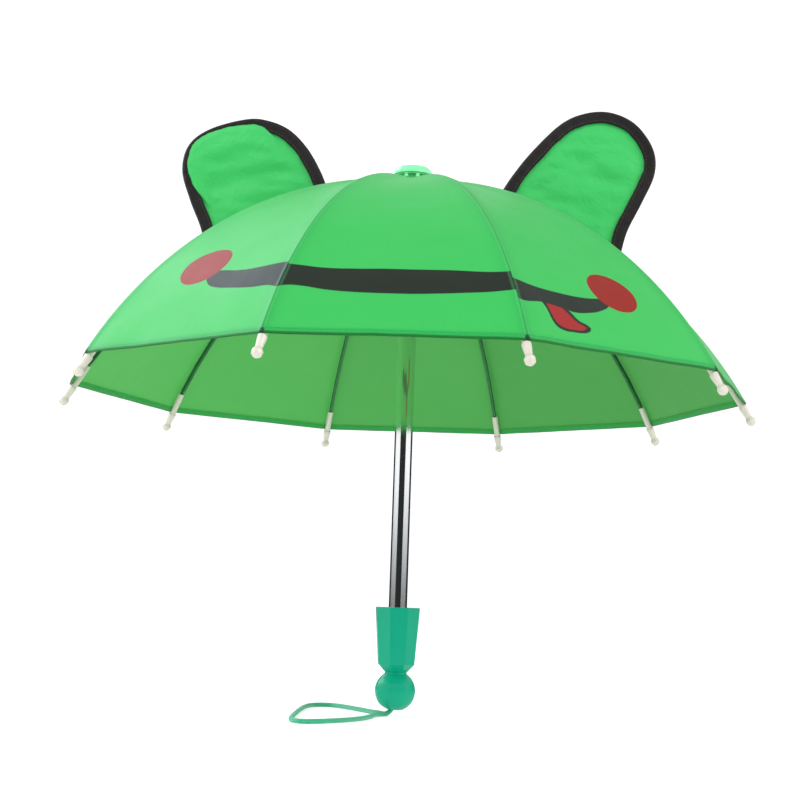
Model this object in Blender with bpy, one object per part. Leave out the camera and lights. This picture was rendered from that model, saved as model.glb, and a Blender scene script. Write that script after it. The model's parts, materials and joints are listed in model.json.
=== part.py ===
"""Child's umbrella with a frog face, open: ten ribs, ten stretchers, a sliding runner, two ears.

The shaft stands along +Z, the face side of the cover looks along -Y, and the origin is the middle
of the grip. Lengths below are in millimetres and are turned into metres when a mesh is made.
"""
import math

import bmesh
import bpy
from mathutils import Vector

MM = 0.001
RIBS = 10
HALF_PITCH = math.pi / RIBS

# Canopy: every seam is one circular arc from the crown to the rim
RIM_RADIUS = 150.0
RIM_Z = 108.0
CROWN_SLOPE = math.radians(5.7)
RIM_SLOPE = math.radians(60.2)
ARC_RADIUS = RIM_RADIUS / (math.sin(RIM_SLOPE) - math.sin(CROWN_SLOPE))
ARC_R = -ARC_RADIUS * math.sin(CROWN_SLOPE)
ARC_Z = RIM_Z - ARC_RADIUS * math.cos(RIM_SLOPE)
FABRIC = 0.5
GORE_GAP = 0.15
GORE_START = 9.0
GORE_ROWS = 12

# Crown: notch, wire ring and the hinge circle of the ribs
CROWN_HINGE_R = 6.2
CROWN_HINGE_Z = 202.4
NOTCH_BOTTOM = 199.4
NOTCH_TOP = 203.9
NOTCH_OUTER = 8.2
NOTCH_ROOT = 4.65
CROWN_PIVOT = (CROWN_HINGE_R, 0.0, CROWN_HINGE_Z)
ROSETTE = (4.3, 8.3, 204.25, 204.75)

# Runner: its hinge circle, sleeve and flange
RUNNER_HINGE_R = 7.0
RUNNER_HINGE_Z = 150.0
RUNNER_BOTTOM = 137.0
RUNNER_TOP = 152.2
RUNNER_SLEEVE = 5.6
RUNNER_FLANGE = 9.2
RUNNER_FLANGE_Z = 147.6
RUNNER_BORE = 4.1
RUNNER_LIP = 0.5
RUNNER_LIP_TALL = 1.2
RUNNER_CONE = 1.6
RUNNER_PIVOT = (RUNNER_HINGE_R, 0.0, RUNNER_HINGE_Z)
SLIDE_PIVOT = (0.0, 0.0, RUNNER_HINGE_Z)

# How far a cutter runs past the surface it opens
CUT_PAST = 1.0

# Wires, eyes and slots shared by crown and runner
WIRE = 0.4
EYE = 1.25
EYE_HOLE = 0.66
SLOT_HALF = 1.0
SLOT_ROOM = 0.3
GROOVE_HALF = 0.6

# Ribs and stretchers: flat bars on edge
RIB_DROP = 2.25
RIB_HALF_WIDTH = 0.7
RIB_HALF_HEIGHT = 0.8
RIB_END_HALF = 0.55
RIB_ROWS = 11
JOINT_R = 65.0
JOINT_EYE = 1.5
RIVET_HOLE = 0.5
STRETCHER_EYE = 1.1
STRETCHER_HALF_WIDTH = 0.6
STRETCHER_HALF_HEIGHT = 0.75
STRETCHER_SIDE = 1.7
CRANK = (11.0, 19.0)

# Rib tips
TIP_INSIDE = 11.0
TIP_OUTSIDE = 10.0
TIP_STEM = 1.45
TIP_HEAD = 1.8
TIP_NECK = 1.35
TIP_BALL = 2.2
TIP_GAP = 0.45
TIP_HOLE = 1.15
TIP_HOLE_END = 3.0

# Shaft, cap and handle
SHAFT_R = 4.0
SHAFT_WALL = 0.5
SHAFT_BOTTOM = -9.0
SHAFT_TOP = 208.6
FIT = 0.06
CAP_BRIM = 9.4
CAP_FLAT = 7.7
CAP_HUB = 5.4
CAP_WINDOW = 1.75
CAP_TOP = 210.4
CAP_BRIM_Z = (207.1, 208.1)
CAP_SKIRT = (7.5, 8.3)
CAP_BOTTOM = 205.1
CAP_STEP = 0.2
CAP_ROOM = 0.4
WINDOW_BELOW = 0.3
HANDLE_TURN = math.radians(6.0)
GRIP_SIDES = 8
GRIP_STEPS = 32
GRIP_RINGS = ((9.95, 14.0), (10.1, 13.6), (8.35, -10.3), (4.9, -13.8))
BALL_Z = -21.6
BALL_WIDE = 9.0
BALL_TALL = 8.7
BALL_SOFT = 0.6
BALL_SPAN = (math.radians(56.0), math.radians(-67.0))
BALL_ROWS = 14
STRAP_HOLE = 2.4
KNOT_CHAMBER = (3.0, -20.0, -9.4)
KNOT_PROFILE = (
    (0.0, -19.7), (1.9, -19.7), (2.6, -18.9), (2.5, -17.9), (2.0, -17.2), (2.5, -16.5),
    (2.4, -15.4), (1.6, -14.7), (0.0, -14.5),
)
STRAP_NOTCH_X = (-6.0, 0.4)
STRAP_NOTCH_Y = (-2.9, 2.9)
STRAP_NOTCH_TOP = -27.4

# Wrist strap: one cord whose two ends sit side by side in the handle
STRAP_R = 1.0
STRAP_PITCH = 4.4
STRAP_ROUTE = (
    (0.0, 1.15, -20.2), (0.0, 1.15, -24.0), (-0.1, 1.15, -27.4), (-1.2, 1.3, -30.1),
    (-3.9, 1.7, -31.3), (-7.5, 4.2, -31.4), (-11.6, 10.0, -31.4), (-19.1, 23.5, -31.4),
    (-25.5, 33.5, -31.4), (-32.0, 38.4, -31.4), (-38.4, 34.5, -31.4), (-40.6, 24.0, -31.4),
    (-41.2, 5.0, -31.4), (-41.0, -17.0, -31.4), (-40.4, -38.0, -31.4), (-38.6, -51.0, -31.4),
    (-33.4, -55.4, -31.4), (-26.5, -50.6, -31.4), (-18.5, -41.5, -31.4), (-12.0, -29.6, -31.4),
    (-9.0, -17.5, -31.4), (-7.9, -8.4, -31.4), (-4.9, -3.0, -31.4), (-1.6, -1.35, -30.4),
    (-0.1, -1.15, -27.4), (0.0, -1.15, -24.0), (0.0, -1.15, -20.2),
)

# Ears: outline in the plane of the side seams, as distance from the shaft and height
EAR_RIGHT = (
    (38.5, 197.9), (45.2, 209.0), (54.3, 221.0), (66.8, 233.6), (78.4, 238.8), (89.8, 239.0),
    (100.6, 233.6), (108.3, 222.4), (109.0, 211.0), (103.4, 197.5), (97.0, 184.0), (93.6, 170.6),
)
EAR_LEFT = (
    (37.4, 198.4), (42.0, 209.0), (48.2, 219.2), (56.4, 227.4), (66.2, 231.6), (76.4, 232.2),
    (92.6, 227.4), (102.4, 219.6), (105.0, 207.6), (100.8, 194.0), (95.4, 181.6), (92.4, 171.4),
)
EAR_STEPS = 26
EAR_HALF = 0.9
EAR_GAP = 0.3
BINDING_WIDTH = 5.5
BINDING_HALF = 1.7
BINDING_EDGE = 0.6
EAR_LIFT = 0.45

# Catch spring: side view as distance from the shaft's axis and height, on the back of the shaft
SPRING_SIDE = (
    (2.3, 108.0), (3.0, 108.0), (3.15, 127.6), (5.3, 134.9), (5.3, 136.3), (4.6, 136.3), (2.5, 128.4),
)
SPRING_HALF = 0.7
SPRING_SLOT = (1.0, 126.4, 136.8)


def clear_scene():
    for item in list(bpy.data.objects):
        bpy.data.objects.remove(item, do_unlink=True)
    for mesh in list(bpy.data.meshes):
        bpy.data.meshes.remove(mesh)


def material(name, colour, metallic=0.0, roughness=0.5):
    mat = bpy.data.materials.new(name)
    mat.use_nodes = True
    shader = mat.node_tree.nodes["Principled BSDF"]
    shader.inputs["Base Color"].default_value = (*colour, 1.0)
    shader.inputs["Metallic"].default_value = metallic
    shader.inputs["Roughness"].default_value = roughness
    mat.diffuse_color = (*colour, 1.0)
    return mat


def make_mesh(name, points, faces, look=None, smooth=False, pivot=(0.0, 0.0, 0.0)):
    """Mesh in metres, its points measured from the pivot."""
    mesh = bpy.data.meshes.new(name)
    mesh.from_pydata([(Vector(p) - Vector(pivot)) * MM for p in points], [], faces)
    work = bmesh.new()
    work.from_mesh(mesh)
    bmesh.ops.recalc_face_normals(work, faces=work.faces)
    work.to_mesh(mesh)
    work.free()
    if look:
        mesh.materials.append(material(name + "_paint", *look))
    if smooth:
        mesh.shade_smooth()
        mesh.set_sharp_from_angle(angle=math.radians(35))
    return mesh


def place(name, mesh, pivot=(0.0, 0.0, 0.0), azimuth=0.0):
    """Object whose own origin is the pivot, turned about the shaft to its azimuth."""
    item = bpy.data.objects.new(name, mesh)
    item.location = Vector(radial(*pivot, azimuth)) * MM
    item.rotation_euler = (0.0, 0.0, azimuth)
    bpy.context.collection.objects.link(item)
    return item


def place_around(kind, points, faces, look, smooth, pivot):
    """Ten numbered objects of one kind, one in the plane of each rib."""
    for index in range(RIBS):
        name = f"{kind}_{index + 1:02d}"
        place(name, make_mesh(name, points, faces, look, smooth, pivot), pivot, rib_azimuth(index))


def cut(item, cutter):
    step = item.modifiers.new("cut", "BOOLEAN")
    step.operation = "DIFFERENCE"
    step.solver = "EXACT"
    step.object = cutter
    bpy.context.view_layer.objects.active = item
    bpy.ops.object.modifier_apply(modifier=step.name)
    bpy.data.objects.remove(cutter, do_unlink=True)


def ring_points(profile, steps, turn=0.0):
    """Rings of points around Z, one ring for each (radius, z) of the profile."""
    points = []
    for radius, z in profile:
        for k in range(steps):
            angle = turn + 2.0 * math.pi * k / steps
            points.append((radius * math.cos(angle), radius * math.sin(angle), z))
    return points


def lathe(profile, steps, turn=0.0):
    """Turned body. A profile that starts and ends on the axis closes at poles; any other closes on itself."""
    on_axis = profile[0][0] == 0.0
    rings = profile[1:-1] if on_axis else profile
    points = ring_points(rings, steps, turn)
    count = len(rings)
    faces = []
    for i in range(count if not on_axis else count - 1):
        low = i * steps
        high = ((i + 1) % count) * steps
        for k in range(steps):
            m = (k + 1) % steps
            faces.append((low + k, low + m, high + m, high + k))
    if on_axis:
        first = len(points)
        points.append((0.0, 0.0, profile[0][1]))
        points.append((0.0, 0.0, profile[-1][1]))
        last = (count - 1) * steps
        for k in range(steps):
            m = (k + 1) % steps
            faces.append((first, m, k))
            faces.append((first + 1, last + k, last + m))
    return points, faces


def turned(name, profile, steps, look, turn=0.0, smooth=True, pivot=(0.0, 0.0, 0.0)):
    points, faces = lathe(profile, steps, turn)
    return place(name, make_mesh(name, points, faces, look, smooth, pivot), pivot)


def radial(r, t, z, azimuth):
    """World point of a place r out from the axis and t sideways, in the plane at this azimuth."""
    c = math.cos(azimuth)
    s = math.sin(azimuth)
    return (r * c - t * s, r * s + t * c, z)


def rib_azimuth(index):
    return -0.5 * math.pi + HALF_PITCH * (2 * index + 1)


def box_points(x0, x1, y0, y1, z0, z1):
    return [(x, y, z) for z in (z0, z1) for y in (y0, y1) for x in (x0, x1)]


BOX_FACES = [(0, 2, 3, 1), (4, 5, 7, 6), (0, 1, 5, 4), (2, 6, 7, 3), (0, 4, 6, 2), (1, 3, 7, 5)]


def slot_cutter(x0, x1, half, z0, z1, first):
    """Ten boxes like spokes, the first at azimuth first, in one mesh."""
    points = []
    faces = []
    for k in range(RIBS):
        angle = first + 2.0 * HALF_PITCH * k
        base = len(points)
        for x, y, z in box_points(x0, x1, -half, half, z0, z1):
            points.append(radial(x, y, z, angle))
        faces += [tuple(base + i for i in face) for face in BOX_FACES]
    return place("slots", make_mesh("slots", points, faces))


def groove_cutter(radius, half, z0, z1, steps):
    profile = [(radius - half, z0), (radius + half, z0), (radius + half, z1), (radius - half, z1)]
    points, faces = lathe(profile, steps)
    return place("groove", make_mesh("groove", points, faces))


def fill_outline(outline, holes):
    """Flat filled outline with holes, as 2-D points and triangles."""
    work = bmesh.new()
    edges = []
    for loop in [outline] + holes:
        verts = [work.verts.new((x, y, 0.0)) for x, y in loop]
        for i, vert in enumerate(verts):
            edges.append(work.edges.new((vert, verts[(i + 1) % len(verts)])))
    bmesh.ops.triangle_fill(work, use_beauty=True, edges=edges)
    work.verts.index_update()
    points = [(v.co.x, v.co.y) for v in work.verts]
    faces = [tuple(v.index for v in face.verts) for face in work.faces]
    work.free()
    return points, faces


def plate(outline, holes, half):
    """Plate of an outline: points (u, side, v) and faces."""
    flat, triangles = fill_outline(outline, holes)
    count = len(flat)
    points = [(u, -half, v) for u, v in flat] + [(u, half, v) for u, v in flat]
    faces = [tri for tri in triangles] + [tuple(count + i for i in reversed(tri)) for tri in triangles]
    start = 0
    for loop in [outline] + holes:
        size = len(loop)
        for i in range(size):
            a = start + i
            b = start + (i + 1) % size
            faces.append((a, b, count + b, count + a))
        start += size
    return points, faces


def arc_point(r, drop=0.0):
    """Point of the seam arc, lowered by drop along its normal."""
    radius = ARC_RADIUS - drop
    s = (r - ARC_R) / radius
    return (r, ARC_Z + radius * math.sqrt(1.0 - s * s))


def arc_at(slope, drop=0.0):
    radius = ARC_RADIUS - drop
    return (ARC_R + radius * math.sin(slope), ARC_Z + radius * math.cos(slope))


def slope_at(r, drop=0.0):
    return math.asin((r - ARC_R) / (ARC_RADIUS - drop))


def circle(centre, radius, steps, start=0.0, end=2.0 * math.pi, closed=True):
    count = steps if closed else steps + 1
    places = [start + (end - start) * k / steps for k in range(count)]
    return [(centre[0] + radius * math.cos(a), centre[1] + radius * math.sin(a)) for a in places]


def rib_outline():
    """Rib seen from the side: eye at the crown hinge, bar along the arc, rounded pad at the stretcher."""
    hinge = (CROWN_HINGE_R, CROWN_HINGE_Z)
    first = slope_at(11.0, RIB_DROP)
    last = RIM_SLOPE + 2.0 / ARC_RADIUS
    joint = slope_at(JOINT_R, RIB_DROP)
    pad = [joint + d * JOINT_EYE / ARC_RADIUS for d in (-1.0, -0.6, 0.0, 0.6, 1.0)]
    end = RIM_SLOPE - (TIP_INSIDE + 2.0) / ARC_RADIUS
    slopes = [first + (end - first) * k / RIB_ROWS for k in range(RIB_ROWS + 1)]
    slopes = [s for s in slopes if abs(s - joint) > 1.5 * JOINT_EYE / ARC_RADIUS]
    slopes += pad + [end + 1.5 / ARC_RADIUS, 0.5 * (end + last), last]
    slopes.sort()
    top = []
    low = []
    for s in slopes:
        half = RIB_HALF_HEIGHT if s <= end + 1e-9 else RIB_END_HALF
        away = (s - joint) * ARC_RADIUS
        if abs(away) < JOINT_EYE:
            half = max(half, math.sqrt(JOINT_EYE ** 2 - away ** 2))
        top.append(arc_at(s, RIB_DROP - half))
        low.append(arc_at(s, RIB_DROP + half))
    eye = circle(hinge, EYE, 9, math.radians(-45), math.radians(-320), closed=False)
    return top + low[::-1] + eye


def bar_outline(length):
    """Stretcher seen from the side: an eye at each end of a straight bar."""
    open_angle = math.radians(40)
    inner = circle((0.0, 0.0), EYE, 9, 2.0 * math.pi - open_angle, open_angle, closed=False)
    outer = circle((length, 0.0), STRETCHER_EYE, 9, math.pi - 0.75, -math.pi + 0.75, closed=False)
    h = STRETCHER_HALF_HEIGHT
    top = [(CRANK[0], h), (CRANK[1], h), (0.5 * length, h)]
    low = [(0.5 * length, -h), (CRANK[1], -h), (CRANK[0], -h)]
    return inner + top + outer + low


def joint_point():
    return arc_point(JOINT_R, RIB_DROP)


def make_ribs(look):
    hinge = (CROWN_HINGE_R, CROWN_HINGE_Z)
    holes = [circle(hinge, EYE_HOLE, 10), circle(joint_point(), RIVET_HOLE, 8)]
    points, faces = plate(rib_outline(), holes, RIB_HALF_WIDTH)
    place_around("rib", points, faces, look, False, CROWN_PIVOT)


def make_stretchers(look):
    joint = Vector(joint_point())
    start = Vector((RUNNER_HINGE_R, RUNNER_HINGE_Z))
    along = joint - start
    length = along.length
    along.normalize()
    up = Vector((-along.y, along.x))
    holes = [circle((0.0, 0.0), EYE_HOLE, 10), circle((length, 0.0), RIVET_HOLE, 8)]
    points, faces = plate(bar_outline(length), holes, STRETCHER_HALF_WIDTH)
    placed = []
    for u, t, v in points:
        share = min(1.0, max(0.0, (u - CRANK[0]) / (CRANK[1] - CRANK[0])))
        flat = start + along * u + up * v
        placed.append((flat.x, t + STRETCHER_SIDE * share, flat.y))
    place_around("stretcher", placed, faces, look, False, RUNNER_PIVOT)


def make_tips(look):
    """Moulded sleeve with a ball end, pushed over the end of the rib."""
    ball = TIP_OUTSIDE - TIP_BALL
    profile = [(0.0, TIP_OUTSIDE)]
    for degrees in (62, 28, -12):
        a = math.radians(degrees)
        profile.append((TIP_BALL * math.cos(a), ball + TIP_BALL * math.sin(a)))
    profile += [(TIP_NECK, ball - 2.0), (TIP_HEAD, 1.6), (TIP_HEAD, TIP_GAP), (TIP_STEM, TIP_GAP)]
    profile += [(TIP_STEM, 0.5 - TIP_INSIDE), (TIP_STEM - 0.15, -TIP_INSIDE)]
    profile += [(TIP_HOLE, -TIP_INSIDE), (TIP_HOLE, TIP_HOLE_END), (0.0, TIP_HOLE_END)]
    points, faces = lathe(profile, 10)
    middle = RIM_SLOPE - 0.5 * TIP_INSIDE / ARC_RADIUS
    axis = Vector((math.cos(middle), 0.0, -math.sin(middle)))
    up = Vector((math.sin(middle), 0.0, math.cos(middle)))
    r, z = arc_at(middle, RIB_DROP)
    base = Vector((r, 0.0, z)) + axis * (0.5 * TIP_INSIDE)
    placed = [base + axis * u + up * a + Vector((0.0, b, 0.0)) for a, b, u in points]
    place_around("tip", placed, faces, look, True, CROWN_PIVOT)


def gore_row(slope, drop):
    """The three points of a gore's cross-section: panel middle, seam, panel middle."""
    r, z = arc_at(slope, drop)
    c = math.cos(HALF_PITCH)
    s = math.sin(HALF_PITCH)
    out = r * c * c + GORE_GAP * s
    side = r * c * s - GORE_GAP * c
    return [(out, -side, z), (r, 0.0, z), (out, side, z)]


def make_gores(look):
    """Cover over one rib: two half panels joined by the seam that runs along the rib."""
    first = slope_at(GORE_START)
    points = []
    for k in range(GORE_ROWS + 1):
        slope = first + (RIM_SLOPE - first) * k / GORE_ROWS
        points += gore_row(slope, 0.0) + gore_row(slope, FABRIC)
    faces = []
    for k in range(GORE_ROWS):
        a = 6 * k
        b = a + 6
        faces += [(a, a + 1, b + 1, b), (a + 1, a + 2, b + 2, b + 1)]
        faces += [(a + 3, b + 3, b + 4, a + 4), (a + 4, b + 4, b + 5, a + 5)]
        faces += [(a, b, b + 3, a + 3), (a + 2, a + 5, b + 5, b + 2)]
    e = 6 * GORE_ROWS
    faces += [(0, 3, 4, 1), (1, 4, 5, 2), (e, e + 1, e + 4, e + 3), (e + 1, e + 2, e + 5, e + 4)]
    place_around("gore", points, faces, look, True, CROWN_PIVOT)


def blend_curve(points, count):
    """Evenly spaced points of a smooth curve through hand-placed points."""
    path = [Vector(p) for p in points]
    path = [2.0 * path[0] - path[1]] + path + [2.0 * path[-1] - path[-2]]
    dense = []
    for i in range(1, len(path) - 2):
        for k in range(16):
            t = k / 16.0
            a = -0.5 * t ** 3 + t ** 2 - 0.5 * t
            b = 1.5 * t ** 3 - 2.5 * t ** 2 + 1.0
            c = -1.5 * t ** 3 + 2.0 * t ** 2 + 0.5 * t
            d = 0.5 * t ** 3 - 0.5 * t ** 2
            dense.append(path[i - 1] * a + path[i] * b + path[i + 1] * c + path[i + 2] * d)
    dense.append(path[-2])
    total = [0.0]
    for i in range(1, len(dense)):
        total.append(total[-1] + (dense[i] - dense[i - 1]).length)
    if count is None:
        count = round(total[-1] / STRAP_PITCH)
    result = []
    j = 0
    for k in range(count + 1):
        want = total[-1] * k / count
        while j < len(dense) - 2 and total[j + 1] < want:
            j += 1
        share = (want - total[j]) / (total[j + 1] - total[j])
        result.append(dense[j].lerp(dense[j + 1], share))
    return result


def land_on_cover(point, along):
    """Slide a point along a direction until it is the ear's lift above the seam arc."""
    spot = Vector(point)
    for _ in range(30):
        gap = math.hypot(spot.x - ARC_R, spot.y - ARC_Z) - ARC_RADIUS - EAR_LIFT
        outward = Vector((spot.x - ARC_R, spot.y - ARC_Z)).normalized()
        spot -= along * (gap / along.dot(outward))
    return spot


def ear_frames(outline):
    """Points of the ear's edge with the direction along it and the direction inward."""
    edge = blend_curve([(x, z, 0.0) for x, z in outline], EAR_STEPS)
    edge = [Vector((p.x, p.y)) for p in edge]
    frames = []
    for i, p in enumerate(edge):
        along = (edge[min(i + 1, EAR_STEPS)] - edge[max(i - 1, 0)]).normalized()
        frames.append((p, along, Vector((along.y, -along.x))))
    return frames


def make_ear(name, outline, azimuth, look):
    """Flat ear panel whose curved edge sits in the groove of its binding."""
    frames = ear_frames(outline)
    edge = [p + inward * (BINDING_EDGE + EAR_GAP) for p, along, inward in frames]
    edge[0] = land_on_cover(edge[0], frames[0][1])
    edge[-1] = land_on_cover(edge[-1], frames[-1][1])
    base = []
    for k in range(1, 12):
        r = edge[-1].x + (edge[0].x - edge[-1].x) * k / 12.0
        base.append(arc_point(r, -EAR_LIFT))
    loop = [(p.x, p.y) for p in edge] + base
    points, faces = plate(loop, [], EAR_HALF)
    return place(name, make_mesh(name, points, faces, look, pivot=CROWN_PIVOT), CROWN_PIVOT, azimuth)


def make_binding(name, outline, azimuth, look):
    """Tape folded over the ear's edge, a U in section."""
    b = BINDING_HALF
    g = EAR_HALF + EAR_GAP
    w = BINDING_WIDTH
    e = BINDING_EDGE
    section = [
        (0.25, -b), (0.0, -b + 0.6), (0.0, b - 0.6), (0.25, b), (w, b),
        (w, g), (e, g), (e, -g), (w, -g), (w, -b),
    ]
    size = len(section)
    frames = ear_frames(outline)
    points = []
    for i, (p, along, inward) in enumerate(frames):
        for n, t in section:
            spot = p + inward * n
            if i in (0, EAR_STEPS):
                spot = land_on_cover(spot, along)
            points.append((spot.x, t, spot.y))
    faces = []
    for i in range(EAR_STEPS):
        for k in range(size):
            m = (k + 1) % size
            faces.append((i * size + k, i * size + m, (i + 1) * size + m, (i + 1) * size + k))
    end = EAR_STEPS * size
    for start in (0, end):
        faces.append(tuple(start + k for k in (0, 1, 2, 3, 6, 7)))
        faces.append(tuple(start + k for k in (3, 4, 5, 6)))
        faces.append(tuple(start + k for k in (7, 8, 9, 0)))
    return place(name, make_mesh(name, points, faces, look, pivot=CROWN_PIVOT), CROWN_PIVOT, azimuth)


def make_wire(name, radius, z, look, pivot=(0.0, 0.0, 0.0)):
    turns = [k * math.pi / 3.0 for k in range(6)]
    profile = [(radius + WIRE * math.cos(a), z + WIRE * math.sin(a)) for a in turns]
    return turned(name, profile, 30, look, pivot=pivot)


def make_crown(plastic, steel, fabric):
    profile = [
        (SHAFT_R + FIT, NOTCH_BOTTOM), (NOTCH_OUTER - 0.4, NOTCH_BOTTOM), (NOTCH_OUTER, NOTCH_BOTTOM + 0.4),
        (NOTCH_OUTER, NOTCH_TOP), (SHAFT_R + FIT, NOTCH_TOP),
    ]
    notch = turned("crown_notch", profile, 40, plastic, turn=HALF_PITCH / 4.0)
    low = CROWN_HINGE_Z - GROOVE_HALF
    cut(notch, groove_cutter(CROWN_HINGE_R, GROOVE_HALF, low, NOTCH_TOP + CUT_PAST, 40))
    ends = (NOTCH_BOTTOM - CUT_PAST, NOTCH_TOP + CUT_PAST)
    cut(notch, slot_cutter(NOTCH_ROOT, NOTCH_OUTER + CUT_PAST, SLOT_HALF, *ends, rib_azimuth(0)))
    make_wire("crown_wire", CROWN_HINGE_R, CROWN_HINGE_Z, steel)
    inner, outer, low, high = ROSETTE
    turned("canopy_rosette", [(inner, low), (outer, low), (outer, high), (inner, high)], 40, fabric)


def make_runner(plastic, steel):
    lip = RUNNER_SLEEVE + RUNNER_LIP
    lip_top = RUNNER_BOTTOM + RUNNER_LIP_TALL
    profile = [
        (RUNNER_BORE, RUNNER_BOTTOM), (lip, RUNNER_BOTTOM), (lip, lip_top),
        (RUNNER_SLEEVE, lip_top + RUNNER_LIP), (RUNNER_SLEEVE, RUNNER_FLANGE_Z - RUNNER_CONE),
        (RUNNER_FLANGE, RUNNER_FLANGE_Z), (RUNNER_FLANGE, RUNNER_TOP), (RUNNER_BORE, RUNNER_TOP),
    ]
    runner = turned("runner", profile, 40, plastic, pivot=SLIDE_PIVOT)
    low = RUNNER_HINGE_Z - GROOVE_HALF
    past = RUNNER_TOP + CUT_PAST
    cut(runner, groove_cutter(RUNNER_HINGE_R, GROOVE_HALF, low, past, 40))
    root = RUNNER_HINGE_R - EYE - SLOT_ROOM
    ends = (RUNNER_HINGE_Z - EYE - SLOT_ROOM, past)
    cut(runner, slot_cutter(root, RUNNER_FLANGE + CUT_PAST, SLOT_HALF, *ends, rib_azimuth(0)))
    make_wire("runner_wire", RUNNER_HINGE_R, RUNNER_HINGE_Z, steel, SLIDE_PIVOT)


def make_shaft(chrome, steel):
    inner = SHAFT_R - SHAFT_WALL
    profile = [(inner, SHAFT_BOTTOM), (SHAFT_R, SHAFT_BOTTOM), (SHAFT_R, SHAFT_TOP), (inner, SHAFT_TOP)]
    shaft = turned("shaft_tube", profile, 40, chrome)
    half, low, high = SPRING_SLOT
    slot = box_points(-half, half, inner - CUT_PAST, SHAFT_R + CUT_PAST, low, high)
    cut(shaft, place("slot", make_mesh("slot", slot, BOX_FACES)))
    points, faces = plate(list(SPRING_SIDE), [], SPRING_HALF)
    place("top_catch_spring", make_mesh("top_catch_spring", points, faces, steel), azimuth=0.5 * math.pi)


def make_cap(look):
    skirt_in, skirt_out = CAP_SKIRT
    brim_low, brim_high = CAP_BRIM_Z
    ceiling = brim_low - CAP_STEP
    profile = [
        (0.0, CAP_TOP), (CAP_FLAT, CAP_TOP), (CAP_BRIM, brim_high), (CAP_BRIM, brim_low),
        (skirt_out, ceiling), (skirt_out, CAP_BOTTOM), (skirt_in, CAP_BOTTOM), (skirt_in, ceiling),
        (CAP_HUB, ceiling), (CAP_HUB, CAP_BOTTOM), (SHAFT_R + FIT, CAP_BOTTOM),
        (SHAFT_R + FIT, SHAFT_TOP + CAP_ROOM), (0.0, SHAFT_TOP + CAP_ROOM),
    ]
    cap = turned("top_cap", profile, 20, look, smooth=False)
    ends = (CAP_BOTTOM - CUT_PAST, ceiling - WINDOW_BELOW)
    first = rib_azimuth(0) + HALF_PITCH
    reach = 0.5 * (skirt_in - CAP_HUB)
    cut(cap, slot_cutter(skirt_in - reach, skirt_out + CUT_PAST, CAP_WINDOW, *ends, first))


def grip_ring(radius, z, soft):
    """Ring of the grip: an eight-sided outline when soft is 0, a circle when soft is 1."""
    side = 2.0 * math.pi / GRIP_SIDES
    points = []
    for k in range(GRIP_STEPS):
        angle = 2.0 * math.pi * k / GRIP_STEPS
        across = angle % side - 0.5 * side
        flat = radius * math.cos(0.5 * side) / math.cos(across)
        reach = flat + soft * (radius - flat)
        points.append(radial(reach, 0.0, z, angle + HANDLE_TURN + 0.5 * side))
    return points


def make_handle(look):
    """Eight-sided grip, neck and soft-cornered ball in one moulding, bored for shaft, knot and strap."""
    rings = [grip_ring(radius, z, 0.0) for radius, z in GRIP_RINGS]
    first, last = BALL_SPAN
    for k in range(BALL_ROWS + 1):
        angle = first + (last - first) * k / BALL_ROWS
        z = BALL_Z + BALL_TALL * math.sin(angle)
        rings.append(grip_ring(BALL_WIDE * math.cos(angle), z, BALL_SOFT))
    points = [p for ring in rings for p in ring]
    faces = [tuple(range(GRIP_STEPS)), tuple(range(len(points) - GRIP_STEPS, len(points)))]
    for i in range(len(rings) - 1):
        for k in range(GRIP_STEPS):
            a = i * GRIP_STEPS + k
            b = i * GRIP_STEPS + (k + 1) % GRIP_STEPS
            faces.append((a, b, b + GRIP_STEPS, a + GRIP_STEPS))
    handle = place("handle", make_mesh("handle", points, faces, look, smooth=True))
    chamber, low, high = KNOT_CHAMBER
    bore = SHAFT_R + FIT
    top = GRIP_RINGS[0][1] + CUT_PAST
    bottom = BALL_Z - BALL_TALL - CUT_PAST
    profile = [
        (0.0, top), (bore, top), (bore, high), (chamber, high), (chamber, low), (STRAP_HOLE, low),
        (STRAP_HOLE, bottom), (0.0, bottom),
    ]
    cut(handle, turned("bore", profile, 40, None))
    notch = box_points(*STRAP_NOTCH_X, *STRAP_NOTCH_Y, bottom, STRAP_NOTCH_TOP)
    cut(handle, place("notch", make_mesh("notch", notch, BOX_FACES)))


def make_strap(look):
    route = blend_curve(STRAP_ROUTE, None)
    curve = bpy.data.curves.new("wrist_strap", "CURVE")
    curve.dimensions = "3D"
    curve.bevel_depth = STRAP_R * MM
    curve.bevel_resolution = 2
    curve.use_fill_caps = True
    line = curve.splines.new("POLY")
    line.points.add(len(route) - 1)
    for dot, p in zip(line.points, route):
        dot.co = (p.x * MM, p.y * MM, p.z * MM, 1.0)
    curve.materials.append(material("wrist_strap_paint", *look))
    strap = bpy.data.objects.new("wrist_strap", curve)
    bpy.context.collection.objects.link(strap)
    turned("strap_knot", KNOT_PROFILE, 14, look)


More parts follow.
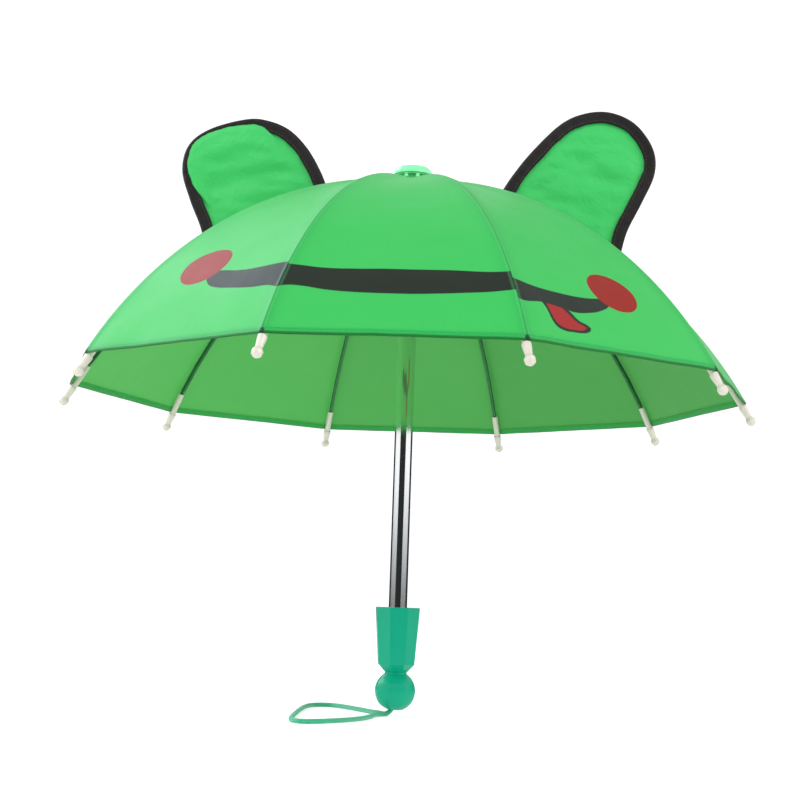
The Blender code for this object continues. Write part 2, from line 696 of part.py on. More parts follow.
def build():
    clear_scene()
    chrome = ((0.80, 0.81, 0.82), 1.0, 0.15)
    steel = ((0.42, 0.46, 0.44), 0.9, 0.35)
    green_fabric = ((0.08, 0.62, 0.14), 0.0, 0.6)
    black_tape = ((0.02, 0.018, 0.018), 0.0, 0.7)
    handle_green = ((0.02, 0.36, 0.22), 0.0, 0.25)
    mint = ((0.22, 0.80, 0.38), 0.0, 0.3)
    white = ((0.88, 0.86, 0.78), 0.0, 0.35)
    strap_green = ((0.02, 0.40, 0.19), 0.0, 0.7)
    make_shaft(chrome, steel)
    make_handle(handle_green)
    make_strap(strap_green)
    make_crown(white, steel, green_fabric)
    make_cap(mint)
    make_runner(white, steel)
    make_ribs(steel)
    make_tips(white)
    make_stretchers(steel)
    make_gores(green_fabric)
    make_ear("ear_right", EAR_RIGHT, 0.0, green_fabric)
    make_ear("ear_left", EAR_LEFT, math.pi, green_fabric)
    make_binding("ear_binding_right", EAR_RIGHT, 0.0, black_tape)
    make_binding("ear_binding_left", EAR_LEFT, math.pi, black_tape)


build()
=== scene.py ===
"""Looks of the child's frog umbrella: cover, ears, strap, materials, light and camera.

The shaft stands along +Z and the face looks along -Y. Lengths below are in millimetres and are
turned into metres when a mesh is made.
"""
import json
import math

import bpy
import numpy as np
from mathutils import Matrix, Vector, noise


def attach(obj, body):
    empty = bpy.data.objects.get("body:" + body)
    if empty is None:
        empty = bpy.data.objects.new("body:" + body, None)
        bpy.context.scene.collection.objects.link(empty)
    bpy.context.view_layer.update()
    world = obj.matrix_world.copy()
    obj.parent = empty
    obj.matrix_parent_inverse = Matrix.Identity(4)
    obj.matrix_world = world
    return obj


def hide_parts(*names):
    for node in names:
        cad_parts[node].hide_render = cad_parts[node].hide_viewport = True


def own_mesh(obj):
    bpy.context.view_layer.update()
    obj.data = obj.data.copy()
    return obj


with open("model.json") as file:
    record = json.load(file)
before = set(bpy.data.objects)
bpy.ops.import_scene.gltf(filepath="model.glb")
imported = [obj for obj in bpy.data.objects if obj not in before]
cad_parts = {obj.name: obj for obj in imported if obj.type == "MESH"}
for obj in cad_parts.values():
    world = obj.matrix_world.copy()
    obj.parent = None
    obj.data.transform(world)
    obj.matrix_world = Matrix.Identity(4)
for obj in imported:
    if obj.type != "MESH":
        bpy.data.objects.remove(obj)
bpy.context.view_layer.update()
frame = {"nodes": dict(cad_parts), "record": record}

MM = 0.001
TURN = 2.0 * math.pi
RIBS = 10
HALF_PITCH = math.pi / RIBS
COS_HALF = math.cos(HALF_PITCH)
SIN_HALF = math.sin(HALF_PITCH)

# Camera: place in metres, turns in radians, lens in millimetres on a 36 mm sensor
CAMERA_AT = (0.0203, -0.6385, 0.0171)
CAMERA_YAW = -0.0352
CAMERA_PITCH = 0.1367
CAMERA_ROLL = 0.0346
CAMERA_LENS = 65.47

# Cover: every seam is one circular arc from the crown to the rim
RIM_RADIUS = 150.0
RIM_Z = 108.0
CROWN_SLOPE = math.radians(5.7)
RIM_SLOPE = math.radians(60.2)
ARC_RADIUS = RIM_RADIUS / (math.sin(RIM_SLOPE) - math.sin(CROWN_SLOPE))
ARC_R = -ARC_RADIUS * math.sin(CROWN_SLOPE)
ARC_Z = RIM_Z - ARC_RADIUS * math.cos(RIM_SLOPE)
COVER_START = 8.5
ROWS_PER_STRIP = 8
STRIPS = 12
SEAM_STEPS = (0.0, 0.012, 0.03, 0.07, 0.16, 0.28, 0.42, 0.56, 0.70, 0.85, 1.0)
HINGE_R = 6.2
HINGE_Z = 202.4
RIM_ARC = ARC_RADIUS * (RIM_SLOPE - CROWN_SLOPE)
HEM_TURN = (
    (0.22, 0.34, 0.4), (0.55, 0.36, 0.8), (0.78, 0.0, 1.1),
    (0.80, -0.7, 1.8), (0.76, -1.6, 2.7), (0.56, -2.4, 3.5),
)

# Strap: one cord of 2 mm whose two ends sit side by side in the handle
STRAP_R = 1.0
STRAP_ROUTE = (
    (0.0, 1.15, -20.2), (0.0, 1.15, -24.0), (-0.1, 1.15, -27.4), (-1.2, 1.3, -30.1),
    (-3.9, 1.7, -31.3), (-7.5, 4.2, -31.4), (-11.6, 10.0, -31.4), (-19.1, 23.5, -31.4),
    (-25.5, 33.5, -31.4), (-32.0, 38.4, -31.4), (-38.4, 34.5, -31.4), (-40.6, 24.0, -31.4),
    (-41.2, 5.0, -31.4), (-41.0, -17.0, -31.4), (-40.4, -38.0, -31.4), (-38.6, -51.0, -31.4),
    (-33.4, -55.4, -31.4), (-26.5, -50.6, -31.4), (-18.5, -41.5, -31.4), (-12.0, -29.6, -31.4),
    (-9.0, -17.5, -31.4), (-7.9, -8.4, -31.4), (-4.9, -3.0, -31.4), (-1.6, -1.35, -30.4),
    (-0.1, -1.15, -27.4), (0.0, -1.15, -24.0), (0.0, -1.15, -20.2),
)
FLOOR_Z = -32.4

# Ears: outline in the plane of the side seams, as distance from the shaft and height
EAR_RIGHT = (
    (38.5, 197.9), (45.2, 209.0), (54.3, 221.0), (66.8, 233.6), (78.4, 238.8), (89.8, 239.0),
    (100.6, 233.6), (108.3, 222.4), (109.0, 211.0), (103.4, 197.5), (97.0, 184.0), (93.6, 170.6),
)
EAR_LEFT = (
    (37.4, 198.4), (42.0, 209.0), (48.2, 219.2), (56.4, 227.4), (66.2, 231.6), (76.4, 232.2),
    (92.6, 227.4), (102.4, 219.6), (105.0, 207.6), (100.8, 194.0), (95.4, 181.6), (92.4, 171.4),
)
EAR_COLUMNS = 72
EAR_ROWS = 30
TAPE_WIDTH = 5.5
EAR_GAP = 0.35
# How far the front face ends inside the ear's edge. Below TUCKED it rolls over the tape instead.
TUCKED = 5.2
ROLL_HEIGHT = 1.9
RIGHT_INSET = ((0.0, TUCKED), (1.0, TUCKED))
LEFT_INSET = (
    (0.0, TUCKED), (0.28, TUCKED), (0.40, 2.2), (0.48, 1.2), (0.60, 0.5),
    (0.68, 1.6), (0.76, 3.2), (0.85, TUCKED), (1.0, TUCKED),
)


# ---------------------------------------------------------------- small helpers

def link(item):
    bpy.context.scene.collection.objects.link(item)
    return item


def mesh_object(name, points, faces, smooth=True):
    """Mesh object from points in millimetres in the row frame."""
    mesh = bpy.data.meshes.new(name)
    mesh.from_pydata([tuple(float(c) * MM for c in p) for p in points], [], faces)
    if smooth:
        mesh.shade_smooth()
    mesh.update()
    return link(bpy.data.objects.new(name, mesh))


def lay_uv(item, uvs):
    """UV layer with one place per vertex."""
    layer = item.data.uv_layers.new(name="panel")
    for loop in item.data.loops:
        layer.data[loop.index].uv = uvs[loop.vertex_index]


def radial(r, t, z, azimuth):
    """Point r out, t sideways and z up, at a bearing round the shaft."""
    c = math.cos(azimuth)
    s = math.sin(azimuth)
    return (r * c - t * s, r * s + t * c, z)


def rib_azimuth(index):
    return -0.5 * math.pi + HALF_PITCH * (2 * index + 1)


def arc_at(slope, drop=0.0):
    radius = ARC_RADIUS - drop
    return (ARC_R + radius * math.sin(slope), ARC_Z + radius * math.cos(slope))


def smoothstep(x):
    x = min(1.0, max(0.0, x))
    return x * x * (3.0 - 2.0 * x)


def curve_through(points, count):
    """Evenly spaced points of a smooth curve through given points."""
    path = [Vector(p) for p in points]
    path = [2.0 * path[0] - path[1]] + path + [2.0 * path[-1] - path[-2]]
    dense = []
    for i in range(1, len(path) - 2):
        for k in range(16):
            t = k / 16.0
            a = -0.5 * t ** 3 + t ** 2 - 0.5 * t
            b = 1.5 * t ** 3 - 2.5 * t ** 2 + 1.0
            c = -1.5 * t ** 3 + 2.0 * t ** 2 + 0.5 * t
            d = 0.5 * t ** 3 - 0.5 * t ** 2
            dense.append(path[i - 1] * a + path[i] * b + path[i + 1] * c + path[i + 2] * d)
    dense.append(path[-2])
    total = [0.0]
    for i in range(1, len(dense)):
        total.append(total[-1] + (dense[i] - dense[i - 1]).length)
    result = []
    j = 0
    for k in range(count + 1):
        want = total[-1] * k / count
        while j < len(dense) - 2 and total[j + 1] < want:
            j += 1
        share = (want - total[j]) / (total[j + 1] - total[j])
        result.append(dense[j].lerp(dense[j + 1], share))
    return result, total[-1]


# ---------------------------------------------------------------- camera and strap

def make_camera():
    data = bpy.data.cameras.new("camera")
    data.lens = CAMERA_LENS
    data.sensor_width = 36.0
    data.clip_start = 0.01
    data.clip_end = 20.0
    level = Vector((math.sin(CAMERA_YAW), math.cos(CAMERA_YAW), 0.0))
    side = Vector((math.cos(CAMERA_YAW), -math.sin(CAMERA_YAW), 0.0))
    height = Vector((0.0, 0.0, 1.0))
    forward = level * math.cos(CAMERA_PITCH) + height * math.sin(CAMERA_PITCH)
    up = height * math.cos(CAMERA_PITCH) - level * math.sin(CAMERA_PITCH)
    right = side * math.cos(CAMERA_ROLL) + up * math.sin(CAMERA_ROLL)
    above = up * math.cos(CAMERA_ROLL) - side * math.sin(CAMERA_ROLL)
    turn = Matrix((right, above, -forward)).transposed().to_4x4()
    camera = link(bpy.data.objects.new("camera", data))
    camera.matrix_world = Matrix.Translation(CAMERA_AT) @ turn
    bpy.context.scene.camera = camera


def make_strap(look):
    """Wrist strap: a soft round cord that leaves the ball of the handle and lies on the floor."""
    route, length = curve_through(STRAP_ROUTE, 40)
    curve = bpy.data.curves.new("strap_cord_loop", "CURVE")
    curve.dimensions = "3D"
    curve.bevel_depth = STRAP_R * MM
    curve.bevel_resolution = 5
    curve.resolution_u = 6
    curve.use_fill_caps = True
    line = curve.splines.new("BEZIER")
    line.bezier_points.add(len(route) - 1)
    for point, place in zip(line.bezier_points, route):
        point.co = place * MM
        point.handle_left_type = "AUTO"
        point.handle_right_type = "AUTO"
    curve.materials.append(look)
    strap = link(bpy.data.objects.new("strap_cord_loop", curve))
    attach(strap, "shaft_assembly")
    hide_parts("wrist_strap")


# ---------------------------------------------------------------- material helpers

class Graph:
    """A material under construction, with short calls for its nodes."""

    def __init__(self, name):
        self.material = bpy.data.materials.new(name)
        self.material.use_nodes = True
        self.tree = self.material.node_tree
        self.tree.nodes.clear()
        self.output = self.tree.nodes.new("ShaderNodeOutputMaterial")
        self.shader = self.tree.nodes.new("ShaderNodeBsdfPrincipled")
        self.tree.links.new(self.shader.outputs[0], self.output.inputs[0])

    def put(self, socket, value):
        if isinstance(value, bpy.types.NodeSocket):
            self.tree.links.new(value, socket)
        else:
            socket.default_value = value

    def set(self, **values):
        for key, value in values.items():
            self.put(self.shader.inputs[key.replace("_", " ")], value)

    def math(self, operation, a, b=0.0, clamp=False):
        item = self.tree.nodes.new("ShaderNodeMath")
        item.operation = operation
        item.use_clamp = clamp
        self.put(item.inputs[0], a)
        self.put(item.inputs[1], b)
        return item.outputs[0]

    def coords(self, kind):
        return self.tree.nodes.new("ShaderNodeTexCoord").outputs[kind]

    def parts(self, vector):
        """X, Y and Z of a vector."""
        split = self.tree.nodes.new("ShaderNodeSeparateXYZ")
        self.tree.links.new(vector, split.inputs[0])
        return split.outputs

    def uv(self, name):
        """The vector of a UV layer and its two parts."""
        item = self.tree.nodes.new("ShaderNodeUVMap")
        item.uv_map = name
        x, y, _ = self.parts(item.outputs[0])
        return item.outputs[0], x, y

    def millimetres(self, value):
        return self.math("MULTIPLY", value, 1.0 / MM)

    def noise(self, vector, scale, detail=3.0, roughness=0.5, distortion=0.0):
        item = self.tree.nodes.new("ShaderNodeTexNoise")
        self.put(item.inputs["Vector"], vector)
        item.inputs["Scale"].default_value = scale
        item.inputs["Detail"].default_value = detail
        item.inputs["Roughness"].default_value = roughness
        item.inputs["Distortion"].default_value = distortion
        return item.outputs["Fac"]

    def stretched(self, vector, factors):
        item = self.tree.nodes.new("ShaderNodeMapping")
        self.put(item.inputs["Vector"], vector)
        item.inputs["Scale"].default_value = factors
        return item.outputs[0]

    def mix(self, share, a, b):
        item = self.tree.nodes.new("ShaderNodeMix")
        item.data_type = "RGBA"
        self.put(item.inputs[0], share)
        self.put(item.inputs[6], (*a, 1.0) if isinstance(a, tuple) else a)
        self.put(item.inputs[7], (*b, 1.0) if isinstance(b, tuple) else b)
        return item.outputs[2]

    def spread(self, value, low, high):
        """Value from 0..1 stretched to low..high."""
        return self.math("ADD", self.math("MULTIPLY", value, high - low), low)

    def above(self, value, edge, blur):
        """1 where value is above edge, with a soft step."""
        gap = self.math("SUBTRACT", value, edge)
        return self.math("ADD", self.math("DIVIDE", gap, blur), 0.5, clamp=True)

    def below(self, value, edge, blur):
        gap = self.math("SUBTRACT", edge, value)
        return self.math("ADD", self.math("DIVIDE", gap, blur), 0.5, clamp=True)

    def both(self, *masks):
        result = masks[0]
        for mask in masks[1:]:
            result = self.math("MULTIPLY", result, mask)
        return result

    def edge(self, x, span, height, points):
        """Smooth curve through points, for x inside span; the result lies inside height."""
        item = self.tree.nodes.new("ShaderNodeFloatCurve")
        low, high = span
        base, top = height
        scaled = self.math("DIVIDE", self.math("SUBTRACT", x, low), high - low, clamp=True)
        self.tree.links.new(scaled, item.inputs["Value"])
        line = item.mapping.curves[0]
        placed = [((px - low) / (high - low), (py - base) / (top - base)) for px, py in points]
        placed = [(0.0, placed[0][1])] + placed + [(1.0, placed[-1][1])]
        line.points[0].location = placed[0]
        line.points[1].location = placed[-1]
        for place in placed[1:-1]:
            line.points.new(*place)
        item.mapping.update()
        return self.spread(item.outputs[0], base, top)

    def bump(self, height, distance, strength=1.0, normal=None):
        item = self.tree.nodes.new("ShaderNodeBump")
        item.inputs["Distance"].default_value = distance
        item.inputs["Strength"].default_value = strength
        self.put(item.inputs["Height"], height)
        if normal is not None:
            self.put(item.inputs["Normal"], normal)
        return item.outputs[0]

    def weave(self, x, y, pitch):
        """Plain weave height: threads over and under, from two coordinates in millimetres."""
        turns = TURN / pitch
        a = self.math("SINE", self.math("MULTIPLY", x, turns))
        b = self.math("SINE", self.math("MULTIPLY", y, turns))
        return self.math("MULTIPLY", a, b)

    def dashes(self, along, pitch, share):
        turn = self.math("FRACT", self.math("DIVIDE", along, pitch))
        return self.below(turn, share, 0.12)


# ---------------------------------------------------------------- cover fabric

GREEN = (0.032, 0.535, 0.116)
GREEN_DEEP = (0.019, 0.405, 0.078)
# Painted shade: darker, yellower greens for the inside of the cover
INSIDE_SHADE_GREEN = (0.085, 0.250, 0.070)
INSIDE_SHADE_DEEP = (0.060, 0.220, 0.050)
# Dark green of the painted shade at the seams and along the hem, also used for the stitches
SHADE_AND_STITCH_GREEN = (0.008, 0.160, 0.026)
# Painted highlight: the paler green laid beside each seam
SEAM_HIGHLIGHT_GREEN = (0.160, 0.760, 0.300)
RIM_CORNER_DARK = (0.006, 0.040, 0.014)
PRINT_BLACK = (0.017, 0.026, 0.018)
PRINT_RED = (0.345, 0.012, 0.004)
TONGUE_RED = (0.410, 0.020, 0.019)

# Print, in the panel's own millimetres: distance sideways of its middle, distance along the arc
LAT = (-50.0, 50.0)
ARC = (120.0, 190.0)
PRINT_START = 128.0
PRINT_BLUR = 0.3
MOUTH_FROM = -2.5
MOUTH_TO = 5.0

MOUTH_FRONT = (
    (
        (-44.0, 150.2), (-38.7, 150.7), (-29.1, 151.6), (0.8, 151.2), (18.8, 151.3),
        (32.7, 152.0), (44.0, 151.5),
    ),
    (
        (-44.0, 163.8), (-40.0, 162.6), (-34.0, 162.8), (-24.1, 164.5), (0.9, 165.2),
        (15.3, 164.7), (32.7, 163.3), (44.0, 161.7),
    ),
)
MOUTH_LEFT = (
    (
        (-5.0, 146.1), (5.6, 147.5), (15.1, 149.1), (23.5, 149.7), (37.2, 149.1),
        (44.0, 149.3),
    ),
    (
        (-2.5, 150.2), (-0.5, 152.9), (3.1, 156.2), (8.5, 158.3), (17.8, 160.2),
        (28.2, 161.6), (36.8, 161.9), (44.0, 163.9),
    ),
)
MOUTH_RIGHT = (
    (
        (-44.0, 155.0), (-39.5, 155.5), (-32.8, 156.9), (-23.1, 158.1), (-10.7, 158.7),
        (-1.9, 157.6), (6.1, 155.3),
    ),
    (
        (-44.0, 166.4), (-39.5, 166.8), (-32.5, 165.8), (-20.5, 167.2), (-18.0, 167.8),
        (-9.7, 166.8), (-2.9, 164.5), (2.8, 160.9), (5.2, 157.8),
    ),
)
CHEEK_LEFT = (-7.8, 142.5, 11.6)
CHEEK_RIGHT = (9.0, 152.0, 11.1)
TONGUE_SPAN = (-34.0, -11.0)
TONGUE_ENDS = (-32.3, -12.8)
TONGUE_TOP = (
    (-33.0, 160.0), (-24.0, 163.0), (-20.0, 167.3), (-19.1, 168.7), (-18.0, 170.9), (-16.7, 172.3),
    (-14.0, 173.6), (-12.7, 174.9),
)
TONGUE_LOW = (
    (-32.4, 164.0), (-31.9, 165.8), (-31.1, 169.4), (-30.9, 173.0), (-30.4, 175.6), (-29.7, 177.0),
    (-27.1, 178.4), (-22.1, 178.6), (-18.2, 178.4), (-14.9, 177.4), (-13.4, 176.2), (-12.7, 174.9),
)
RED_ENDS = (-30.1, -14.8)
RED_TOP = (
    (-30.2, 165.0), (-29.3, 165.6), (-24.4, 165.6), (-22.1, 167.6), (-20.3, 170.6), (-18.6, 172.9),
    (-16.4, 174.3), (-14.6, 175.2),
)
RED_LOW = (
    (-30.2, 165.0), (-29.9, 169.0), (-29.6, 173.1), (-28.9, 175.1), (-28.1, 176.0), (-25.4, 177.1),
    (-21.6, 177.3), (-17.1, 176.8), (-15.4, 175.7), (-14.6, 175.2),
)

# Sewing: stitch lines beside each seam and above the rim; painted shade along the hem; a dark patch at
# each seam's foot
WEAVE_PITCH = 0.62
STITCH_PITCH = 2.2
STITCH_SHARE = 0.62
STITCH_BLUR = 0.12
SEAM_STITCH = (1.05, 1.4)
HEM_STITCH = (2.0, 1.65)
HEM_SHADE_SPAN = (0.55, 1.2)
RIM_CORNER_SIZE = (0.9, 1.7)


def mouth_mask(g, lat, arc, edges, side):
    upper = g.edge(lat, LAT, ARC, edges[0])
    lower = g.edge(lat, LAT, ARC, edges[1])
    masks = [g.above(arc, upper, PRINT_BLUR), g.below(arc, lower, PRINT_BLUR)]
    if side < 0:
        masks.append(g.above(lat, MOUTH_FROM, PRINT_BLUR))
    if side > 0:
        masks.append(g.below(lat, MOUTH_TO, PRINT_BLUR))
    return g.both(*masks)


def disc_mask(g, lat, arc, disc):
    x = g.math("SUBTRACT", lat, disc[0])
    y = g.math("SUBTRACT", arc, disc[1])
    far = g.math("SQRT", g.math("ADD", g.math("MULTIPLY", x, x), g.math("MULTIPLY", y, y)))
    return g.below(far, disc[2], PRINT_BLUR)


def tongue_mask(g, lat, arc, ends, top, low):
    upper = g.edge(lat, TONGUE_SPAN, ARC, top)
    lower = g.edge(lat, TONGUE_SPAN, ARC, low)
    across = g.both(g.above(arc, upper, PRINT_BLUR), g.below(arc, lower, PRINT_BLUR))
    return g.both(across, g.above(lat, ends[0], PRINT_BLUR), g.below(lat, ends[1], PRINT_BLUR))


def print_inks(g, lat, arc, side):
    """Masks and inks of the face's print on one panel; a later one lies over an earlier one."""
    inks = []
    if side == 1:
        inks.append((tongue_mask(g, lat, arc, TONGUE_ENDS, TONGUE_TOP, TONGUE_LOW), PRINT_BLACK))
        inks.append((tongue_mask(g, lat, arc, RED_ENDS, RED_TOP, RED_LOW), TONGUE_RED))
    if side is not None:
        edges = {-1: MOUTH_LEFT, 0: MOUTH_FRONT, 1: MOUTH_RIGHT}[side]
        inks.append((mouth_mask(g, lat, arc, edges, side), PRINT_BLACK))
    if side in (-1, 1):
        inks.append((disc_mask(g, lat, arc, CHEEK_LEFT if side < 0 else CHEEK_RIGHT), PRINT_RED))
    return inks


def stitch_mask(g, lat, arc, seam):
    """Running stitches beside each seam and above the rim."""
    beside_seam = g.both(
        g.above(seam, SEAM_STITCH[0], STITCH_BLUR),
        g.below(seam, SEAM_STITCH[1], STITCH_BLUR),
        g.dashes(arc, STITCH_PITCH, STITCH_SHARE),
    )
    above_rim = g.both(
        g.above(arc, RIM_ARC - HEM_STITCH[0], STITCH_BLUR),
        g.below(arc, RIM_ARC - HEM_STITCH[1], STITCH_BLUR),
        g.dashes(lat, STITCH_PITCH, STITCH_SHARE),
    )
    return g.math("MAXIMUM", beside_seam, above_rim)


def cover_material(name, side):
    """Printed taffeta of one panel. side is -1, 0 or 1 for the face's panels and None for a plain one."""
    g = Graph(name)
    vector, lat_m, arc_m = g.uv("panel")
    lat = g.millimetres(lat_m)
    arc = g.millimetres(arc_m)
    seam = g.millimetres(g.uv("seam")[1])
    cloud = g.noise(vector, 22.0, 3.0)
    streak = g.noise(g.stretched(vector, (900.0, 60.0, 1.0)), 1.0, 2.0)
    tone = g.math("ADD", g.math("MULTIPLY", cloud, 0.7), g.math("MULTIPLY", streak, 0.3))
    colour = g.mix(g.math("MULTIPLY", tone, 0.45), GREEN, GREEN_DEEP)
    glow = g.mix(0.30, colour, (0.24, 0.52, 0.05))
    for mask, ink in print_inks(g, lat, arc, side):
        colour = g.mix(mask, colour, ink)
        glow = g.mix(mask, glow, tuple(0.5 * c for c in ink))
    # Painted highlight: a paler green band just beside each seam
    seam_highlight = g.both(g.above(seam, 0.35, 0.2), g.below(seam, 1.25, 0.5))
    colour = g.mix(g.math("MULTIPLY", seam_highlight, 0.16), colour, SEAM_HIGHLIGHT_GREEN)
    # Painted shade: the seam's groove is darkened toward the dark shade green
    seam_groove_shade = g.below(seam, 0.22, 0.3)
    colour = g.mix(g.math("MULTIPLY", seam_groove_shade, 0.45), colour, SHADE_AND_STITCH_GREEN)
    stitch = stitch_mask(g, lat, arc, seam)
    colour = g.mix(g.math("MULTIPLY", stitch, 0.2), colour, SHADE_AND_STITCH_GREEN)
    # Painted shade: back faces, and the turned-under hem past the dark band, take the darker inside green
    back = g.tree.nodes.new("ShaderNodeNewGeometry").outputs["Backfacing"]
    turned = g.math("MULTIPLY", g.above(arc, RIM_ARC + HEM_SHADE_SPAN[1], 0.4), 0.35)
    inside = g.math("MAXIMUM", back, turned)
    colour = g.mix(g.math("MULTIPLY", inside, 0.85), colour, g.mix(cloud, INSIDE_SHADE_GREEN, INSIDE_SHADE_DEEP))
    # Painted shade: a dark band along the rim edge that runs onto the turned-under hem
    hem = g.both(g.above(arc, RIM_ARC - HEM_SHADE_SPAN[0], 0.4), g.below(arc, RIM_ARC + HEM_SHADE_SPAN[1], 0.4))
    colour = g.mix(g.math("MULTIPLY", hem, 0.95), colour, SHADE_AND_STITCH_GREEN)
    # A dark patch at the foot of each seam, just above the rim
    rim_corner_mark = g.both(g.below(seam, RIM_CORNER_SIZE[0], 0.4), g.above(arc, RIM_ARC - RIM_CORNER_SIZE[1], 0.5))
    colour = g.mix(g.math("MULTIPLY", rim_corner_mark, 0.9), colour, RIM_CORNER_DARK)
    threads = g.weave(lat, arc, WEAVE_PITCH)
    relief = g.math("ADD", threads, g.math("MULTIPLY", stitch, 2.5))
    normal = g.bump(relief, 0.00003, 0.6)
    crinkle = g.noise(g.stretched(vector, (130.0, 45.0, 1.0)), 1.0, 2.0)
    normal = g.bump(crinkle, 0.0006, 0.35, normal)
    g.set(
        Base_Color=colour, Roughness=g.spread(tone, 0.40, 0.56), Normal=normal,
        Sheen_Weight=0.16, Sheen_Roughness=0.40, Specular_IOR_Level=0.24,
    )
    behind = g.tree.nodes.new("ShaderNodeBsdfTranslucent")
    g.put(behind.inputs["Color"], glow)
    blend = g.tree.nodes.new("ShaderNodeMixShader")
    blend.inputs[0].default_value = 0.30
    g.tree.links.new(g.shader.outputs[0], blend.inputs[1])
    g.tree.links.new(behind.outputs[0], blend.inputs[2])
    g.tree.links.new(blend.outputs[0], g.output.inputs[0])
    return g.material


# ---------------------------------------------------------------- cover shape

# Sag between ribs, slow and fine unevenness, puckers at the rim and the ridge along a seam
SAG_MIDDLE = 1.1
SAG_CROWN = 1.0
WAVE_BROAD = 0.50
WAVE_FINE = 0.16
PUCKER = 0.16
RIDGE = 0.22


def cover_lift(world, slope, g, chord):
    """How far the taut fabric stands off the straight chord between two ribs, along its normal."""
    arc_share = (slope - CROWN_SLOPE) / (RIM_SLOPE - CROWN_SLOPE)
    side = g * chord
    free = smoothstep(side / 9.0)
    sag = -SAG_MIDDLE * math.sin(math.pi * min(1.0, max(0.0, arc_share)))
    sag -= SAG_CROWN * smoothstep(arc_share / 0.08) * smoothstep((0.50 - arc_share) / 0.35)
    sag *= g * (2.0 - g)
    spot = Vector(world)
    calm = smoothstep((arc_share - 0.05) / 0.25)
    broad = WAVE_BROAD * calm * noise.noise(spot / 26.0)
    fine = WAVE_FINE * noise.noise(spot / 9.0 + Vector((7.0, 3.0, 1.0)))
    edge = smoothstep((arc_share - 0.80) / 0.20)
    pucker = PUCKER * edge * math.sin(side * 1.15) * (1.0 - 0.6 * g)
    ridge = RIDGE * (1.0 - smoothstep(side / 1.5))
    return sag * free + (broad + fine + pucker) * free + ridge


def cover_rows():
    """Rows from crown to rim, then the hem turned under: (slope, drop, distance along the arc)."""
    first = math.asin((COVER_START - ARC_R) / ARC_RADIUS)
    count = ROWS_PER_STRIP * STRIPS
    rows = []
    for k in range(count + 1):
        slope = first + (RIM_SLOPE - first) * k / count
        rows.append((slope, 0.0, ARC_RADIUS * (slope - CROWN_SLOPE)))
    for drop, past, look in HEM_TURN:
        rows.append((RIM_SLOPE + past / ARC_RADIUS, drop, RIM_ARC + look))
    return rows


def cover_grid(rows):
    """All points of the cover, row by row round the shaft, with one column shared by two gores."""
    half = len(SEAM_STEPS) - 1
    grid = np.zeros((len(rows), RIBS * 2 * half, 3))
    for i, (slope, drop, _) in enumerate(rows):
        r, z = arc_at(slope, drop)
        chord = r * SIN_HALF
        for rib in range(RIBS):
            azimuth = rib_azimuth(rib)
            for k in range(-half, half):
                g = SEAM_STEPS[abs(k)]
                t = math.copysign(1.0, k) * g * r * COS_HALF * SIN_HALF
                base = radial(r - g * r * SIN_HALF ** 2, t, z, azimuth)
                lift = cover_lift(base, slope, g, chord)
                facing = azimuth + (math.copysign(HALF_PITCH, k) if k else 0.0)
                out = Vector(radial(math.sin(slope), 0.0, math.cos(slope), facing))
                column = (rib * 2 * half + half + k) % (RIBS * 2 * half)
                grid[i, column] = Vector(base) + out * lift
    return grid


def grid_normals(grid):
    """Smooth outward normals of the ring-shaped grid."""
    right = np.roll(grid, -1, axis=1)
    across = right[:-1] - grid[:-1]
    down = grid[1:] - grid[:-1]
    across_low = right[1:] - grid[1:]
    down_right = right[1:] - right[:-1]
    faces = np.cross(down, across) + np.cross(down_right, across_low)
    total = np.zeros_like(grid)
    for rows in (slice(0, -1), slice(1, None)):
        total[rows] += faces
        total[rows] += np.roll(faces, 1, axis=1)
    return total / np.linalg.norm(total, axis=2, keepdims=True)


def closed_share(slope, angle):
    """Width that neighbouring gores leave each other when the ribs are closed, as a share of rest."""
    r, z = arc_at(slope)
    x = r * COS_HALF ** 2 - HINGE_R
    y = z - HINGE_Z
    out = HINGE_R + x * math.cos(angle) + y * math.sin(angle)
    side = r * COS_HALF * SIN_HALF
    return min(1.0, max(0.04, out * math.tan(HALF_PITCH) / side))


def closing_angle():
    for joint in frame["record"]["behaviour"]["joints"]:
        if joint["name"] == "rib_01_hinge":
            return math.radians(max(abs(v) for v in joint["range_deg"]))
    raise RuntimeError("the record has no rib_01_hinge")


def strip_mesh(name, grid, normals, rows, rib, top, bottom, looks):
    """Part of one gore, from row top to row bottom."""
    half = len(SEAM_STEPS) - 1
    ring = grid.shape[1]
    columns = [(rib * 2 * half + k) % ring for k in range(2 * half + 1)]
    wide = len(columns)
    picked = grid[top:bottom + 1][:, columns].reshape(-1, 3)
    facing = normals[top:bottom + 1][:, columns].reshape(-1, 3)
    faces = []
    for i in range(bottom - top):
        for k in range(wide - 1):
            a = i * wide + k
            faces.append((a, a + wide, a + wide + 1, a + 1))
    item = mesh_object(name, picked, faces)
    mesh = item.data
    mesh.normals_split_custom_set_from_vertices([tuple(n) for n in facing])
    panel = mesh.uv_layers.new(name="panel")
    seam = mesh.uv_layers.new(name="seam")
    for look in looks:
        mesh.materials.append(look)
    for face in mesh.polygons:
        left = (face.index % (wide - 1)) < half
        face.material_index = 0 if left or len(looks) == 1 else 1
        for corner in face.loop_indices:
            vertex = mesh.loops[corner].vertex_index
            row = top + vertex // wide
            g = SEAM_STEPS[abs(vertex % wide - half)]
            r = arc_at(rows[row][0], rows[row][1])[0]
            lat = r * SIN_HALF * (1.0 - g) * (1.0 if left else -1.0)
            panel.data[corner].uv = (lat * MM, rows[row][2] * MM)
            seam.data[corner].uv = (r * SIN_HALF * g * MM, rows[row][2] * MM)
    return item


